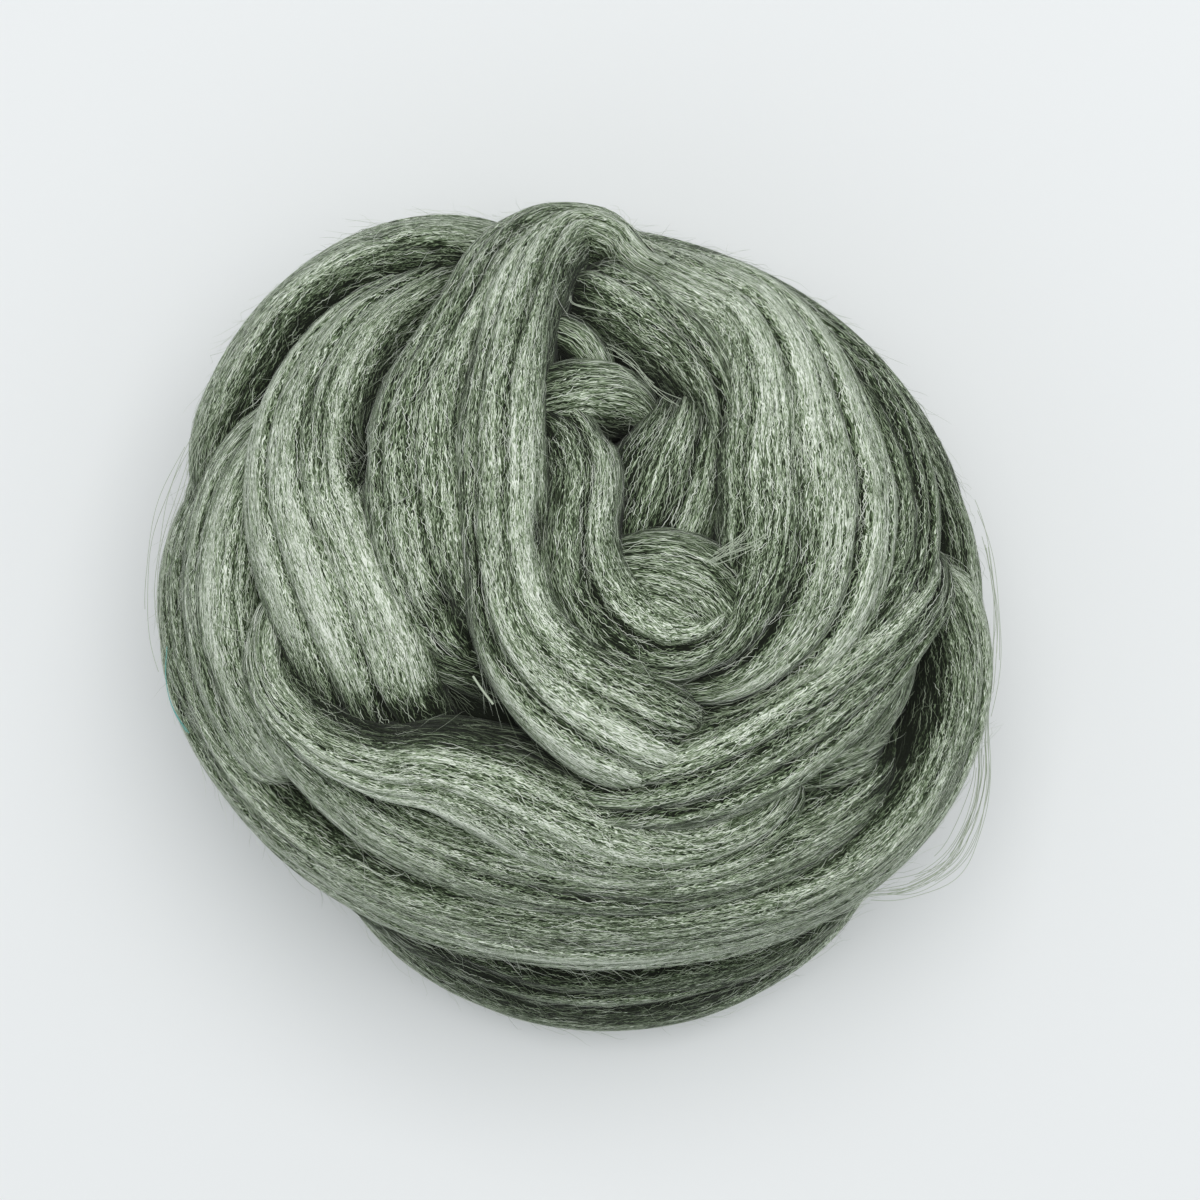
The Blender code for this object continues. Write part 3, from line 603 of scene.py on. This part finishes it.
def make_wool():
    """Combed merino top, dyed in the wool and blended: sage green with pale and olive fibres.

    The eye gets fine wavy streaks along the fibres, soft paler ribs and dark furrows,
    matt with a faint bloom where the surface turns away. Shade is painted into the colour:
    darker in the furrows, down the sides of each swath and where wool lies sunken,
    and a little paler on the ridges.
    """
    wool, shader = new_material(
        "heathered_merino_top", Roughness=0.85, Specular_IOR_Level=0.2, Sheen_Weight=0.12,
        Sheen_Roughness=0.5, Sheen_Tint=colour("#e6eae2"))
    tree = wool.node_tree
    add = partial(add_node, tree)
    place = add("ShaderNodeUVMap", uv_map="fibre_mm").outputs[0]
    split = add("ShaderNodeSeparateXYZ", (place,))
    known = {"along": split.outputs[0], "across": split.outputs[1]}
    for key in ("furrow", "tone", "sunken"):
        known[key] = add("ShaderNodeAttribute", attribute_name=key).outputs["Fac"]

    def streaks(name, length, width, shift, detail=0.0, along="along", across="across"):
        """Noise drawn out along the fibres."""
        add_chain(tree, MATHS, known, [("long", "DIVIDE", along, length),
                                       ("wide", "DIVIDE", across, width)])
        spot = add("ShaderNodeCombineXYZ", (known["long"], known["wide"], shift)).outputs[0]
        known[name] = add("ShaderNodeTexNoise", {
            "Vector": spot, "Scale": 1.0, "Detail": detail, "Roughness": 0.5}).outputs[0]

    # fibres side by side start at different places, so no rows of them line up
    streaks("stagger", STAGGER_LENGTH, STAGGER_WIDTH, 51.0)
    add_chain(tree, MATHS, known, [
        ("staggered", "MULTIPLY_ADD", "stagger", STAGGER_LENGTH, "along")])
    # short crimped streaks, each set leaning a little its own way
    for name, slant, shift in (("first", 0.05, 3.0), ("second", 0.1, 21.0), ("third", -0.09, 37.0)):
        streaks("bend", CRIMP_LENGTH, CRIMP_WIDTH, shift)
        add_chain(tree, MATHS, known, [
            ("bent", "MULTIPLY_ADD", "bend", CRIMP_SWING, "across"),
            ("bent", "MULTIPLY_ADD", "along", slant, "bent")])
        streaks(name, FIBRE_LENGTH, FIBRE_WIDTH, shift + 4.0, along="staggered", across="bent")
    streaks("bundle", BUNDLE_LENGTH, BUNDLE_WIDTH, 11.0, detail=1.0)
    streaks("lock", LOCK_TONE_LENGTH, LOCK_TONE_WIDTH, 17.0, detail=1.0)
    add_chain(tree, MATHS, known, [
        ("later", "MAXIMUM", "second", "third"),
        ("grain", "MAXIMUM", "first", "later"),
        ("fine", "SUBTRACT", "grain", GRAIN_NEUTRAL),
        ("shade", "MULTIPLY_ADD", "fine", GRAIN_STRENGTH, SHADE_MIDDLE),
        ("ribs", "SUBTRACT", "bundle", 0.5),
        ("shade", "MULTIPLY_ADD", "ribs", BUNDLE_STRENGTH, "shade"),
        ("bands", "SUBTRACT", "lock", 0.5),
        ("shade", "MULTIPLY_ADD", "bands", LOCK_STRENGTH, "shade"),
        # painted shade in the furrows and painted light on the ridges
        ("shade", "MULTIPLY_ADD", "furrow", FURROW_SHADE_AND_LIGHT, "shade"),
        ("shade", "MULTIPLY_ADD", "tone", TONE_AND_SHADE_STRENGTH, "shade"),
        # painted shade where the wool lies sunken below the wool beside it
        ("deep", "SUBTRACT", "sunken", UNSHADED_DEPTH),
        ("deep", "MULTIPLY", "deep", GAP_SHADE_PER_MM),
        ("relief", "ADD", "bundle", "grain")])
    # the painted gap shade is taken off the colour
    known["hidden"] = add("ShaderNodeClamp", (known["deep"], -0.05, 0.6)).outputs[0]
    add_chain(tree, MATHS, known, [("shade", "SUBTRACT", "shade", "hidden")])
    tint = add("ShaderNodeValToRGB", (known["shade"],), stops=WOOL_STOPS)
    bump = add("ShaderNodeBump", {
        "Height": known["relief"], "Strength": 0.7, "Distance": 0.25 * MM})
    tree.links.new(tint.outputs["Color"], shader.inputs["Base Color"])
    tree.links.new(bump.outputs[0], shader.inputs["Normal"])
    return wool


def make_fibre_material(name, shaded, dark, pale):
    """Single wool fibres: each one its own even tone, with shade painted in so they are darker down
    in the gaps.
    """
    wool, shader = new_material(name, Roughness=0.6, Specular_IOR_Level=0.3, Sheen_Weight=0.1)
    tree = wool.node_tree
    known = {"tone": add_node(
        tree, "ShaderNodeAttribute", attribute_name="fibre_tone").outputs["Fac"]}
    add_chain(tree, MATHS, known, [("raised", "MULTIPLY_ADD", "tone", 0.5, 0.5)])
    tint = add_node(tree, "ShaderNodeValToRGB", (known["raised"],),
                    stops=[(0.0, shaded), (0.5, dark), (1.0, pale)])
    tree.links.new(tint.outputs["Color"], shader.inputs["Base Color"])
    return wool


def make_wisp_material(name, code):
    """Loose fibres standing clear of the ball, each a thin even line."""
    return new_material(name, Roughness=0.6, Specular_IOR_Level=0.3, Base_Color=colour(code))[0]


# ---- fibres laid on the swaths ----
LOWEST_FIBRE = 0.15       # mm above the table
FIBRE_SEAT = 0.02         # mm, the least a fibre stands off the wool
RAY_START = 1.2           # mm off the wool, where the look outward for cover begins
FIBRE_GAP_SHADE = -0.07       # painted shade: tone lost for each mm that a fibre lies sunken
SWATH_TONE = 0.35         # how much of its swath's tone, painted side shade included, a fibre takes
FIBRE_SOCKETS = [
    ("Surface", "Geometry"), ("Fibres per square metre", "Float"), ("Length", "Float"),
    ("Thickness", "Float"), ("Points in a fibre", "Int"), ("Crimp length", "Float"),
    ("Crimp swing", "Float"), ("Drift", "Float"), ("Lift", "Float"), ("End lift", "Float"),
    ("Round", "Bool"), ("Lowest slope", "Float"), ("Seed", "Int"), ("Wool", "Material"),
]
STORED = [("start_normal", "FLOAT_VECTOR"), ("fibre_mm", "FLOAT_VECTOR"), ("fibre_number", "INT"),
          ("fibre_step", "INT"), ("off_map", "BOOLEAN"), ("sunken", "FLOAT"), ("tone", "FLOAT")]
# what chance gives each fibre: name, least, most, and what is added to the seed
CHANCES = [
    ("any length", 0.6, 1.4, 1), ("any start", 0.0, 6.28, 2), ("any crimp", 0.3, 1.0, 3),
    ("any drift", -1.0, 1.0, 4), ("any bend", -1.0, 1.0, 5), ("any lift", 0.2, 1.5, 6),
    ("any rise", 0.15, 1.6, 7), ("any tone", 0.0, 1.0, 8), ("any pace", 1.6, 3.6, 9),
    ("any slow start", 0.0, 6.28, 10),
]
LOOK_OUTWARD = [
    ("away", "SUBTRACT", "position", tuple((BALL_MIDDLE + SHIFT) * MM)),
    ("outside", "NORMALIZE", "away"),
    ("clear", "SCALE", "start_normal", None, None, RAY_START * MM),
    ("ray start", "ADD", "position", "clear"),
]
FIBRE_PATH = [
    ("gaps", "SUBTRACT", "Points in a fibre", 1),
    ("part", "DIVIDE", "fibre_step", "gaps"),
    ("length", "MULTIPLY", "Length", "any length"),
    ("centred", "SUBTRACT", "part", 0.5),
    ("reach", "MULTIPLY", "centred", "length"),
    ("waves", "DIVIDE", "reach", "Crimp length"),
    ("turn", "MULTIPLY", "waves", 2 * math.pi),
    ("turn", "ADD", "turn", "any start"),
    ("crimp", "SINE", "turn"),
    ("turn", "MULTIPLY", "waves", "any pace"),
    ("turn", "ADD", "turn", "any slow start"),
    ("slower", "SINE", "turn"),
    ("crimp", "ADD", "crimp", "slower"),
    ("swing", "MULTIPLY", "Crimp swing", "any crimp"),
    ("crimp", "MULTIPLY", "crimp", "swing"),
    ("drift", "MULTIPLY", "any drift", "Drift"),
    ("drift", "MULTIPLY", "drift", "part"),
    ("bend", "MULTIPLY", "any bend", "Drift"),
    ("squared", "MULTIPLY", "part", "part"),
    ("bend", "MULTIPLY", "bend", "squared"),
    ("sideways", "ADD", "crimp", "drift"),
    ("sideways", "ADD", "sideways", "bend"),
]
FIBRE_MAP = [
    ("moved map", "ADD", "fibre_mm", "shift"),
    ("on map", "SCALE", "moved map", None, None, 1 / MAP_REACH),
    ("own map", "SCALE", "fibre_mm", None, None, 1 / MAP_REACH),
]
FIBRE_LIFT = [
    ("arch", "MULTIPLY", "part", math.pi),
    ("arch", "SINE", "arch"),
    ("lift", "MULTIPLY", "arch", "Lift"),
    ("lift", "MULTIPLY", "lift", "any lift"),
    ("late", "POWER", "part", 2.0),
    ("rise", "MULTIPLY", "End lift", "any rise"),
    ("rise", "MULTIPLY", "late", "rise"),
    ("lift", "ADD", "lift", "rise"),
    ("lift", "ADD", "lift", FIBRE_SEAT * MM),
]
FIBRE_PLACE = [
    ("off", "SCALE", "facing", None, None, "lift"),
    ("place", "ADD", "placed", "off"),
    # a fibre that would dip into the table lies on it
    ("place", "MAXIMUM", "place", (-1.0, -1.0, LOWEST_FIBRE * MM)),
]
FIBRE_LOOK = [
    ("both ways", "MULTIPLY_ADD", "part", 2.0, -1.0),
    ("both ways", "ABSOLUTE", "both ways"),
    ("both ways", "POWER", "both ways", 3.0),
    ("end gap", "SUBTRACT", 1.0, "both ways"),
    ("stout", "MULTIPLY_ADD", "end gap", 0.4, 0.1),
    ("radius", "MULTIPLY", "Thickness", "stout"),
    # painted shade: fibres lying sunken in the gaps are made darker
    ("fibre tone", "MULTIPLY_ADD", "sunken", FIBRE_GAP_SHADE, "any tone"),
    ("swath tone", "MULTIPLY", "tone", SWATH_TONE),
    ("fibre tone", "ADD", "fibre tone", "swath tone"),
]


def fibre_tree():
    """Tree that lays crimped fibres along the fibre map of the surface it is given."""
    tree = bpy.data.node_groups.new("laid_fibres", "GeometryNodeTree")
    for name, kind in FIBRE_SOCKETS:
        tree.interface.new_socket(name, in_out="INPUT", socket_type="NodeSocket" + kind)
    tree.interface.new_socket("Fibres", in_out="OUTPUT", socket_type="NodeSocketGeometry")
    add = partial(add_node, tree)
    given = add("NodeGroupInput").outputs
    surface = given["Surface"]
    known = {name: given[name] for name, _ in FIBRE_SOCKETS}
    known["position"] = add("GeometryNodeInputPosition").outputs[0]
    for name, kind in STORED:
        reader = add("GeometryNodeInputNamedAttribute", {"Name": name}, data_type=kind)
        known[name] = reader.outputs[0]
    for name, low, high, offset in CHANCES:
        add_chain(tree, MATHS, known, [("own seed", "ADD", "Seed", offset)])
        known[name] = add("FunctionNodeRandomValue", {
            2: low, 3: high, "ID": known["fibre_number"], "Seed": known["own seed"]},
            data_type="FLOAT").outputs[1]
    add_chain(tree, VECTORS, known, LOOK_OUTWARD)
    add_chain(tree, MATHS, known, FIBRE_PATH)

    # where fibres start: on wool that nothing else covers
    scattered = add("GeometryNodeDistributePointsOnFaces", {
        "Mesh": surface, "Density": given["Fibres per square metre"], "Seed": given["Seed"]})
    kept_normal = add("GeometryNodeStoreNamedAttribute", {
        "Geometry": scattered.outputs["Points"], "Name": "start_normal",
        "Value": scattered.outputs["Normal"]}, data_type="FLOAT_VECTOR", domain="POINT")
    ray = add("GeometryNodeRaycast", {
        "Target Geometry": surface, "Source Position": known["ray start"],
        "Ray Direction": known["outside"], "Ray Length": 0.1})
    slope = add("ShaderNodeSeparateXYZ", (known["start_normal"],)).outputs[2]
    turned_away = add("FunctionNodeCompare", {0: slope, 1: given["Lowest slope"]},
                      data_type="FLOAT", operation="LESS_THAN")
    covered = add("FunctionNodeBooleanMath", {0: ray.outputs["Is Hit"], 1: turned_away},
                  operation="OR")
    shown = add("GeometryNodeDeleteGeometry", {
        "Geometry": kept_normal, "Selection": covered}, domain="POINT")

    # a row of points for each fibre
    numbered = add("GeometryNodeStoreNamedAttribute", {
        "Geometry": shown, "Name": "fibre_number",
        "Value": add("GeometryNodeInputIndex")}, data_type="INT", domain="POINT")
    copies = add("GeometryNodeDuplicateElements", {
        "Geometry": numbered, "Amount": given["Points in a fibre"]}, domain="POINT")
    stepped = add("GeometryNodeStoreNamedAttribute", {
        "Geometry": copies, "Name": "fibre_step",
        "Value": copies.outputs["Duplicate Index"]}, data_type="INT", domain="POINT")

    # each point moves to its own place on the fibre map, and is lifted off the wool there
    known["shift"] = add("ShaderNodeCombineXYZ", (known["reach"], known["sideways"])).outputs[0]
    add_chain(tree, VECTORS, known, FIBRE_MAP)
    on_surface = {}
    for name, value in (("placed", known["position"]),
                        ("facing", add("GeometryNodeInputNormal").outputs[0])):
        on_surface[name] = add("GeometryNodeSampleUVSurface", data_type="FLOAT_VECTOR")
        for slot, source in enumerate((surface, value, known["own map"], known["on map"])):
            tree.links.new(source, on_surface[name].inputs[slot])
        known[name] = on_surface[name].outputs[0]
    add_chain(tree, MATHS, known, FIBRE_LIFT + FIBRE_LOOK)
    add_chain(tree, VECTORS, known, FIBRE_PLACE)
    moved = add("GeometryNodeSetPosition", {
        "Geometry": stepped, "Position": known["place"]})
    # the map place is read before the points move, so the test is stored with them
    lost = add("FunctionNodeBooleanMath", {0: on_surface["placed"].outputs[1]}, operation="NOT")
    checked = add("GeometryNodeStoreNamedAttribute", {
        "Geometry": moved, "Name": "off_map", "Value": lost},
        data_type="BOOLEAN", domain="POINT")
    whole = add("GeometryNodeDeleteGeometry", {
        "Geometry": checked, "Selection": known["off_map"]}, domain="POINT")

    # the rows of points become ribbons or tubes
    curves = add("GeometryNodePointsToCurves", {
        "Points": whole, "Curve Group ID": known["fibre_number"],
        "Weight": known["fibre_step"]})
    sized = add("GeometryNodeSetCurveRadius", {
        "Curve": curves, "Radius": known["radius"]})
    toned = add("GeometryNodeStoreNamedAttribute", {
        "Geometry": sized, "Name": "fibre_tone", "Value": known["fibre tone"]},
        data_type="FLOAT", domain="POINT")
    turned = add("GeometryNodeSetCurveNormal", {
        "Curve": toned, "Normal": known["start_normal"]}, mode="FREE")
    ring = add("GeometryNodeCurvePrimitiveCircle", {"Resolution": 3, "Radius": 1.0})
    flat = add("GeometryNodeCurvePrimitiveLine", {
        "Start": (0.0, -1.0, 0.0), "End": (0.0, 1.0, 0.0)})
    profile = add("GeometryNodeSwitch", {
        "Switch": given["Round"], "False": flat, "True": ring},
        input_type="GEOMETRY")
    tubes = add("GeometryNodeCurveToMesh", {
        "Curve": turned, "Profile Curve": profile,
        "Fill Caps": given["Round"], "Scale": add("GeometryNodeInputRadius")})
    solid = add("GeometryNodeRealizeInstances", (tubes,))
    dressed = add("GeometryNodeSetMaterial", {
        "Geometry": solid, "Material": given["Wool"]})
    add("NodeGroupOutput", (dressed,))
    return tree


def lay_fibres(name, surface, tree, values):
    """A plain mesh of the fibres that the tree lays on a copy of the surface."""
    holder = in_scene(name, surface.data.copy())
    modifier = holder.modifiers.new("fibres", "NODES")
    modifier.node_group = tree
    names = {s.name: s.identifier for s in tree.interface.items_tree if s.in_out == "INPUT"}
    for key, value in values.items():
        modifier[names[key]] = value
    holder.update_tag()
    made = final_mesh(holder)
    old = holder.data
    holder.modifiers.clear()
    holder.data = made
    bpy.data.meshes.remove(old)
    made.name = name
    return holder


# ---- loose fibres ----
# hairs: how many; waves: sideways swing in mm; thick: half width in mm; tint: which dyed wool;
# rows: the path they share, with the spread between them as its width
Wisp = namedtuple("Wisp", "hairs waves thick tint rows")
WISP_STEP = 0.7           # mm between the points of a loose fibre
WISP_SEED = 41
WISPS = {
    "lower_right": Wisp(18, 0.8, 0.055, "pale", [
        Side(348, 54, 2, 1.5), Side(341, 51, 4.5, 2.5), Side(335, 48, 8.5, 4),
        Side(329, 46, 11.5, 6), Side(324, 45, 12.5, 7), Side(319, 44, 10.5, 6),
        Side(315, 43, 7, 4), Side(311, 43, 4, 2)]),
    "right_edge": Wisp(6, 0.7, 0.05, "pale", [
        Side(16, 60, 0.5, 2), Side(8, 58, 1, 3), Side(-2, 57, 2, 3), Side(-12, 55, 3.5, 3),
        Side(-20, 53, 4.5, 2)]),
    "left_edge": Wisp(6, 0.9, 0.05, "pale", [
        Side(150, 62, 0.5, 3), Side(160, 62, 1.5, 4), Side(172, 60, 2, 5), Side(184, 58, 2, 4),
        Side(196, 58, 1, 3)]),
    "top_knot_loop": Wisp(2, 0.1, 0.06, "pale", [
        Top(0.2, 52.6, 3, 0.4), Top(0.6, 50.6, 4, 0.4), Top(2.6, 49.8, 4, 0.4),
        Top(6, 50.8, 2, 0.4)]),
    "across_hollow": Wisp(7, 0.5, 0.05, "pale", [
        Top(6, 47, -1.5, 2), Top(11, 43.5, -1, 3), Top(15, 40, -1.5, 4), Top(20, 38, -2.5, 3)]),
    "curl_tip": Wisp(14, 0.5, 0.055, "pale", [
        Top(22, 10.5, 0.5, 1.5), Top(26, 12.5, 1.2, 2.5), Top(29, 14.2, 1.8, 3.5),
        Top(30.5, 16, 2.2, 4.5)]),
    "teal_stray": Wisp(2, 0.25, 0.07, "teal", [
        Side(187.5, 60, 0.8, 0.8), Side(192, 60, 2, 0.8), Side(196, 59, 2, 0.8),
        Side(200, 58, 0.8, 0.8)]),
    "stub": Wisp(1, 0.0, 0.2, "pale", [
        Top(-14.8, -8, 3, 0.1), Top(-13.1, -10, 3.8, 0.1), Top(-11.4, -12, 4.2, 0.1)]),
}


def hair_paths(wisp, chance):
    """Path of each hair of a wisp: its own stretch, side and waves about the shared path."""
    rows = np.array([[*direction_of(r), r.lift, r.width] for r in wisp.rows])
    curve = smooth_curve(rows)
    middles = place_on_form(curve[:, :3], curve[:, 3])
    along, middles, spread = even_stations(middles, curve[:, 4], WISP_STEP)
    _, across, out = directions_along(middles)
    for _ in range(wisp.hairs):
        first = int(chance.uniform(0, 0.3) * len(along)) if wisp.hairs > 2 else 0
        last = int(chance.uniform(0.6, 1) * len(along)) if wisp.hairs > 2 else len(along)
        side = np.linspace(*chance.uniform(-0.6, 0.6, 2), len(along))
        rise = np.linspace(*chance.uniform(-0.5, 0.5, 2), len(along))
        bends = along / chance.uniform(2, 4) + chance.uniform(0, 6.3)
        side = side * spread + wisp.waves * np.sin(bends) + wisp.waves * np.sin(0.37 * bends)
        path = middles + across * side[:, None] + out * (rise * spread)[:, None]
        yield path[first:last]


def wisp_mesh(tint):
    """All the loose fibres of one tint, each a thin tube."""
    chance = np.random.default_rng(WISP_SEED)
    lines = bpy.data.curves.new("wisps", "CURVE")
    lines.dimensions = "3D"
    lines.bevel_depth = MM
    lines.bevel_resolution = 0
    lines.use_fill_caps = True
    for wisp in [w for w in WISPS.values() if w.tint == tint]:
        for path in hair_paths(wisp, chance):
            line = lines.splines.new("POLY")
            line.points.add(len(path) - 1)
            places = np.column_stack([(path + SHIFT) * MM, np.ones(len(path))])
            line.points.foreach_set("co", places.astype(np.float32).ravel())
            line.points.foreach_set("radius", [wisp.thick] * len(path))
    holder = in_scene("wisps", lines)
    made = final_mesh(holder)
    bpy.data.objects.remove(holder)
    bpy.data.curves.remove(lines)
    return made


# ---- pieces ----
def show(name, mesh, material):
    """A piece of the scene made from a mesh."""
    mesh.materials.append(material)
    return in_scene(name, mesh)


def join_meshes(name, pieces):
    """An object outside the scene with one mesh of all the pieces and their fibre map."""
    bm = bmesh.new()
    for piece in pieces:
        bm.from_mesh(piece.data)
    mesh = bpy.data.meshes.new(name)
    bm.to_mesh(mesh)
    bm.free()
    return bpy.data.objects.new(name, mesh)


def finish_piece(piece, stands_for_solid):
    """Tell the frame what a piece rides on, and whether it stands for the solid."""
    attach(piece, "root")
    if stands_for_solid:
        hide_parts("roving_ball")


def soft_light(name, place, target, size, watts):
    """A square lamp that faces its target."""
    lamp = bpy.data.lights.new(name, "AREA")
    lamp.shape = "SQUARE"
    lamp.size = size
    lamp.energy = watts
    holder = in_scene(name, lamp)
    holder.location = place
    holder.rotation_euler = (Vector(target) - Vector(place)).to_track_quat("-Z", "Y").to_euler()


# ---- the ball ----
wool = make_wool()
# the first colour of each is the painted shade that fibres down in the gaps take
pale_wool = make_fibre_material("pale_wool_fibre", "#2a3322", "#8f9c82", "#e4e9dd")
mid_wool = make_fibre_material("sage_wool_fibre", "#12170d", "#2b3620", "#a3b294")
core = show("core", core_mesh(), wool)
swath_pieces = [show(name, swath_mesh(number, name, swath), wool)
                for number, (name, swath) in enumerate(SWATHS.items())]
mark_sunken([core.data] + [piece.data for piece in swath_pieces])

# fibres lie on every swath; most are left off the sides that face down
whole_surface = join_meshes("whole_surface", swath_pieces)
tree = fibre_tree()
EVERY_SLOPE, UPPER_SLOPE = -1.0, 0.02
LAID_VALUES = {
    "Length": 3.9, "Thickness": 0.095 * MM, "Points in a fibre": 16, "Crimp length": 1.0,
    "Crimp swing": 0.11, "Drift": 0.9, "Lift": 0.18 * MM, "End lift": 0.0, "Round": False,
}
laid = [lay_fibres("laid_fibres_%d" % seed, whole_surface, tree, {
    **LAID_VALUES, "Fibres per square metre": density, "Lowest slope": slope,
    "Seed": seed, "Wool": shade})
    for seed, density, slope, shade in (
        (5, 62000.0, EVERY_SLOPE, pale_wool), (6, 188000.0, UPPER_SLOPE, mid_wool),
        (7, 180000.0, UPPER_SLOPE, pale_wool))]
fuzz = lay_fibres("fuzz", whole_surface, tree, {
    "Fibres per square metre": 40000.0, "Length": 5.5, "Thickness": 0.055 * MM,
    "Points in a fibre": 8, "Crimp length": 3.0, "Crimp swing": 0.35, "Drift": 4.5,
    "Lift": 0.4 * MM, "End lift": 2.3 * MM, "Round": True, "Lowest slope": EVERY_SLOPE,
    "Seed": 9, "Wool": pale_wool})
wisps = [show(tint + "_wisps", wisp_mesh(tint), make_wisp_material(tint + "_loose_fibre", code))
         for tint, code in (("pale", "#b4bda9"), ("teal", "#6fb3ac"))]

for piece in [core, *swath_pieces, *laid, fuzz, *wisps]:
    finish_piece(piece, piece in [core, *swath_pieces])

# ---- floor, light and camera ----
FLOOR_HALF = 3.0          # metres, as are the places below
corners = [(-1, -1), (1, -1), (1, 1), (-1, 1)]
floor_mesh = bpy.data.meshes.new("floor")
floor_mesh.from_pydata([(x * FLOOR_HALF, y * FLOOR_HALF, 0) for x, y in corners], [],
                       [(0, 1, 2, 3)])
paper, _ = new_material("matt_white_paper", Base_Color=colour("#e9eaea"), Roughness=0.9)
floor = show("floor", floor_mesh, paper)

world = bpy.data.worlds.new("studio")
bpy.context.scene.world = world
world.use_nodes = True
sky = world.node_tree.nodes["Background"].inputs
sky["Color"].default_value = colour("#ecf1f4")
sky["Strength"].default_value = 0.64
soft_light("overhead", (0.1, 0.36, 1.5), (0, 0, 0.04), 1.2, 14.8)

camera = bpy.data.cameras.new("camera")
camera.lens = 93.3
camera.sensor_width = 36
camera.clip_start, camera.clip_end = 0.01, 10
camera_holder = in_scene("camera", camera)
camera_holder.location = (0.0048, 0.0060, 0.610)
camera_holder.rotation_euler = (0, 0, 0)
bpy.context.scene.camera = camera_holder
bpy.context.scene.view_settings.view_transform = "Standard"
